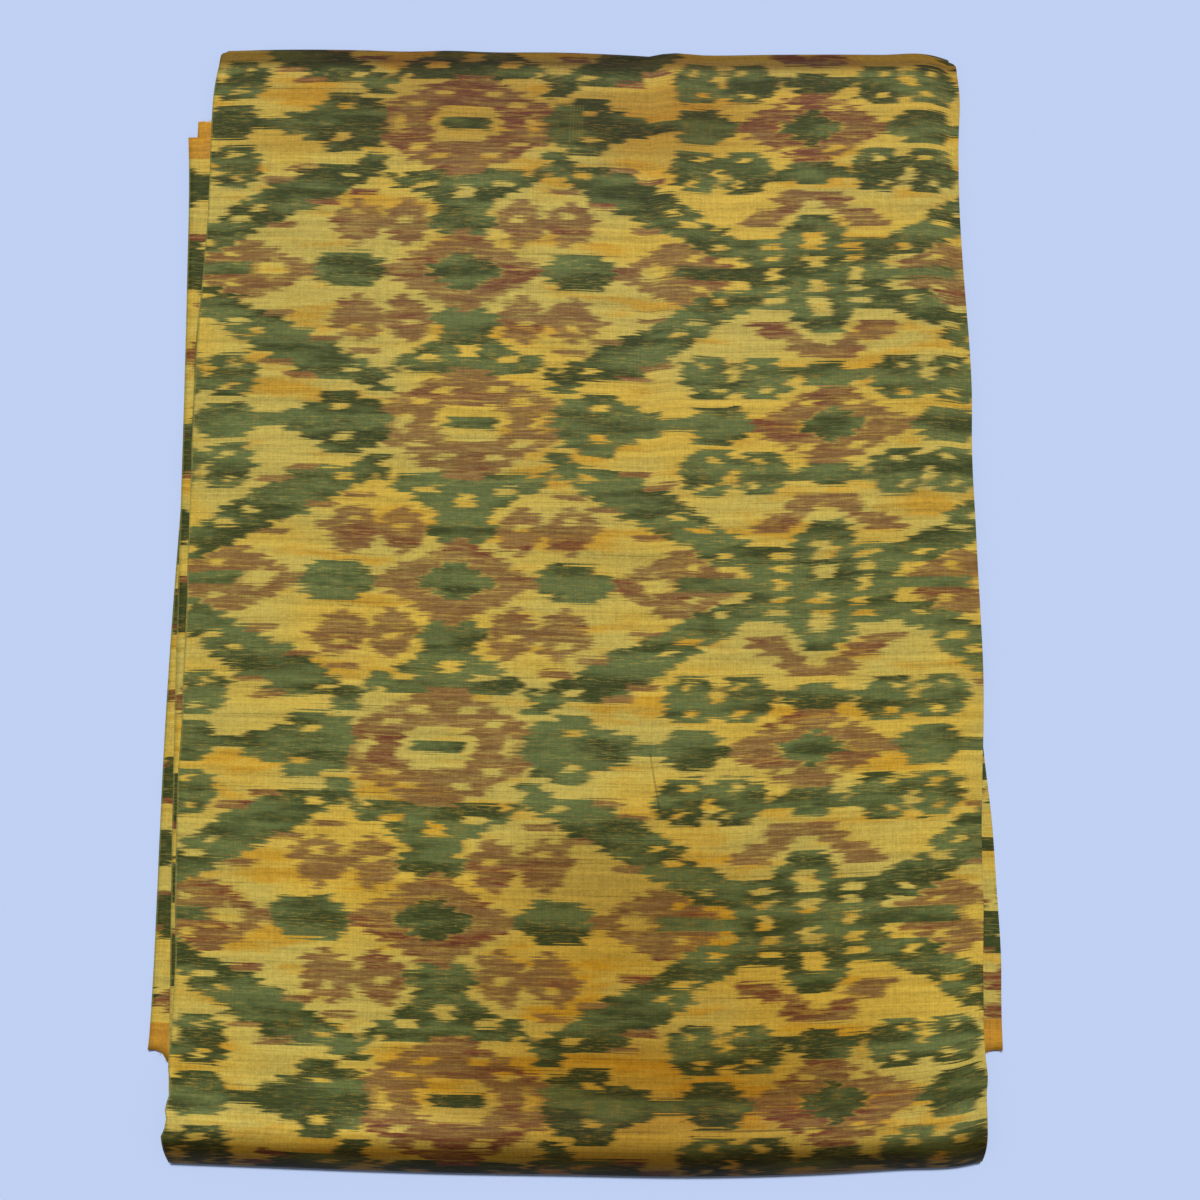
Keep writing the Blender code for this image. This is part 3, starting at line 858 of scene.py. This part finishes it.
def frayThreads(points):
    # tubes along root + length * (away * t + side * bend * t|t|)
    rng = np.random.default_rng(fray["seed"])
    count, stations, sides = fray["perEnd"], fray["stations"], fray["sides"]
    rows, columns = points.shape[:2]
    up = np.array((0, 0, 1.0))
    verts, faces = [], []
    for end, inner in ((0, 1), (rows - 1, rows - 2)):
        share = np.sort(rng.uniform(0, columns - 1.001, count))  # short of the last column
        i = share.astype(int)
        root = points[end, i] + (points[end, i + 1] - points[end, i]) * (share - i)[:, None]
        away = points[end, i] - points[inner, i]
        away /= np.linalg.norm(away, axis=1)[:, None]
        side = np.cross(away, up)
        length = rng.uniform(fray["shortest"], fray["longest"], count)
        bend = rng.normal(0, fray["bend"], count)
        t = np.linspace(-fray["inside"], 1, stations)[None, :, None]
        reach = length[:, None, None]
        line = root[:, None] + away[:, None] * t * reach
        line = line + side[:, None] * bend[:, None, None] * t * np.abs(t) * reach
        radius = fray["radius"] * (1 - fray["taper"] * np.clip(t, 0, 1))
        turn = np.arange(sides) * 2 * np.pi / sides
        ring = (side[:, None, None] * np.cos(turn)[None, None, :, None]
                + up * np.sin(turn)[None, None, :, None])
        tube = line[:, :, None] + ring * radius[:, :, :, None]
        base = sum(len(part) for part in verts)
        verts.append(tube.reshape(-1, 3))
        corner = base + np.arange(count * stations * sides).reshape(-1, stations, sides)
        after = np.roll(corner, -1, axis=2)
        walls = np.stack([corner[:, :-1], corner[:, 1:], after[:, 1:], after[:, :-1]], axis=-1)
        faces += walls.reshape(-1, 4).tolist()
        faces += corner[:, 0].tolist() + corner[:, -1, ::-1].tolist()
    mesh = bpy.data.meshes.new("frayedThreads")
    mesh.from_pydata(np.concatenate(verts), [], faces)
    mesh.shade_smooth()
    obj = bpy.data.objects.new("frayedThreads", mesh)
    bpy.context.scene.collection.objects.link(obj)
    material = bpy.data.materials.new("orangeThread")
    material.use_nodes = True
    tree = material.node_tree
    shader = tree.nodes["Principled BSDF"]
    start = Value(tree, None)
    where = start.make("ShaderNodeTexCoord", {}, {}, 3)  # Object
    mottle = start.make("ShaderNodeTexNoise", {}, {"Vector": where, "Scale": fray["mottle"]})
    colour = mottle.between(*fray["mottled"]).mixed(silk["orange"], silk["amber"])
    tree.links.new(colour.socket, shader.inputs["Base Color"])
    shader.inputs["Roughness"].default_value = fray["roughness"]
    mesh.materials.append(material)
    return obj


stage = {"half": 6.0, "colour": (0.50, 0.61, 0.88, 1), "roughness": 0.9, "specular": 0.1}


def makeStage():
    floorMesh = bpy.data.meshes.new("floor")
    half = stage["half"]
    corners = [(-half, -half, 0), (half, -half, 0), (half, half, 0), (-half, half, 0)]
    floorMesh.from_pydata(corners, [], [(0, 1, 2, 3)])
    floor = bpy.data.objects.new("floor", floorMesh)
    bpy.context.scene.collection.objects.link(floor)
    material = bpy.data.materials.new("paleFloor")
    material.use_nodes = True
    shader = material.node_tree.nodes["Principled BSDF"]
    shader.inputs["Base Color"].default_value = stage["colour"]
    shader.inputs["Roughness"].default_value = stage["roughness"]
    shader.inputs["Specular IOR Level"].default_value = stage["specular"]
    floorMesh.materials.append(material)


lights = {
    "sun": {"from": (0.06, 0.72, 1.0), "angleDegrees": 12, "strength": 3.35,
            "tint": (1, 0.99, 0.97)},
    "sky": 0.19,
    "skyTint": (0.97, 0.98, 1.0, 1),
}


def lampAngles(direction):
    # turns that point a lamp, which shines down its own -Z, along a direction
    flat = np.hypot(direction[0], direction[1])
    return (np.arctan2(flat, -direction[2]), 0, np.arctan2(-direction[0], direction[1]))


def makeLights():
    spec = lights["sun"]
    data = bpy.data.lights.new("sun", "SUN")
    data.energy, data.color = spec["strength"], spec["tint"]
    data.angle = np.radians(spec["angleDegrees"])
    lamp = bpy.data.objects.new("sun", data)
    lamp.rotation_euler = lampAngles(-np.array(spec["from"]))
    bpy.context.scene.collection.objects.link(lamp)
    world = bpy.data.worlds.new("softSky")
    world.use_nodes = True
    sky = world.node_tree.nodes["Background"]
    sky.inputs[0].default_value = lights["skyTint"]
    sky.inputs[1].default_value = lights["sky"]
    bpy.context.scene.world = world
    bpy.context.scene.view_settings.view_transform = "Standard"


view = {"at": (0.015, -0.0935, 0.772), "tiltDegrees": 6.2, "lens": 36.0, "sensor": 36.0}


def makeCamera():
    data = bpy.data.cameras.new("overhead")
    data.lens, data.sensor_width = view["lens"], view["sensor"]
    camera = bpy.data.objects.new("overhead", data)
    camera.location = view["at"]
    camera.rotation_euler = (np.radians(view["tiltDegrees"]), 0, 0)
    bpy.context.scene.collection.objects.link(camera)
    bpy.context.scene.camera = camera


print("camera and lights")
makeCamera()
makeLights()
makeStage()

print("cloth")
clothPiece, clothPoints, clothU, clothV = makeCloth()
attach(clothPiece, "root")
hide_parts("folded_cloth")

print("frayed threads")
threads = frayThreads(clothPoints)
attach(threads, "root")

flatSize = (round(float(clothU[-1]), 3), round(float(clothV[-1] - clothV[0]), 3))
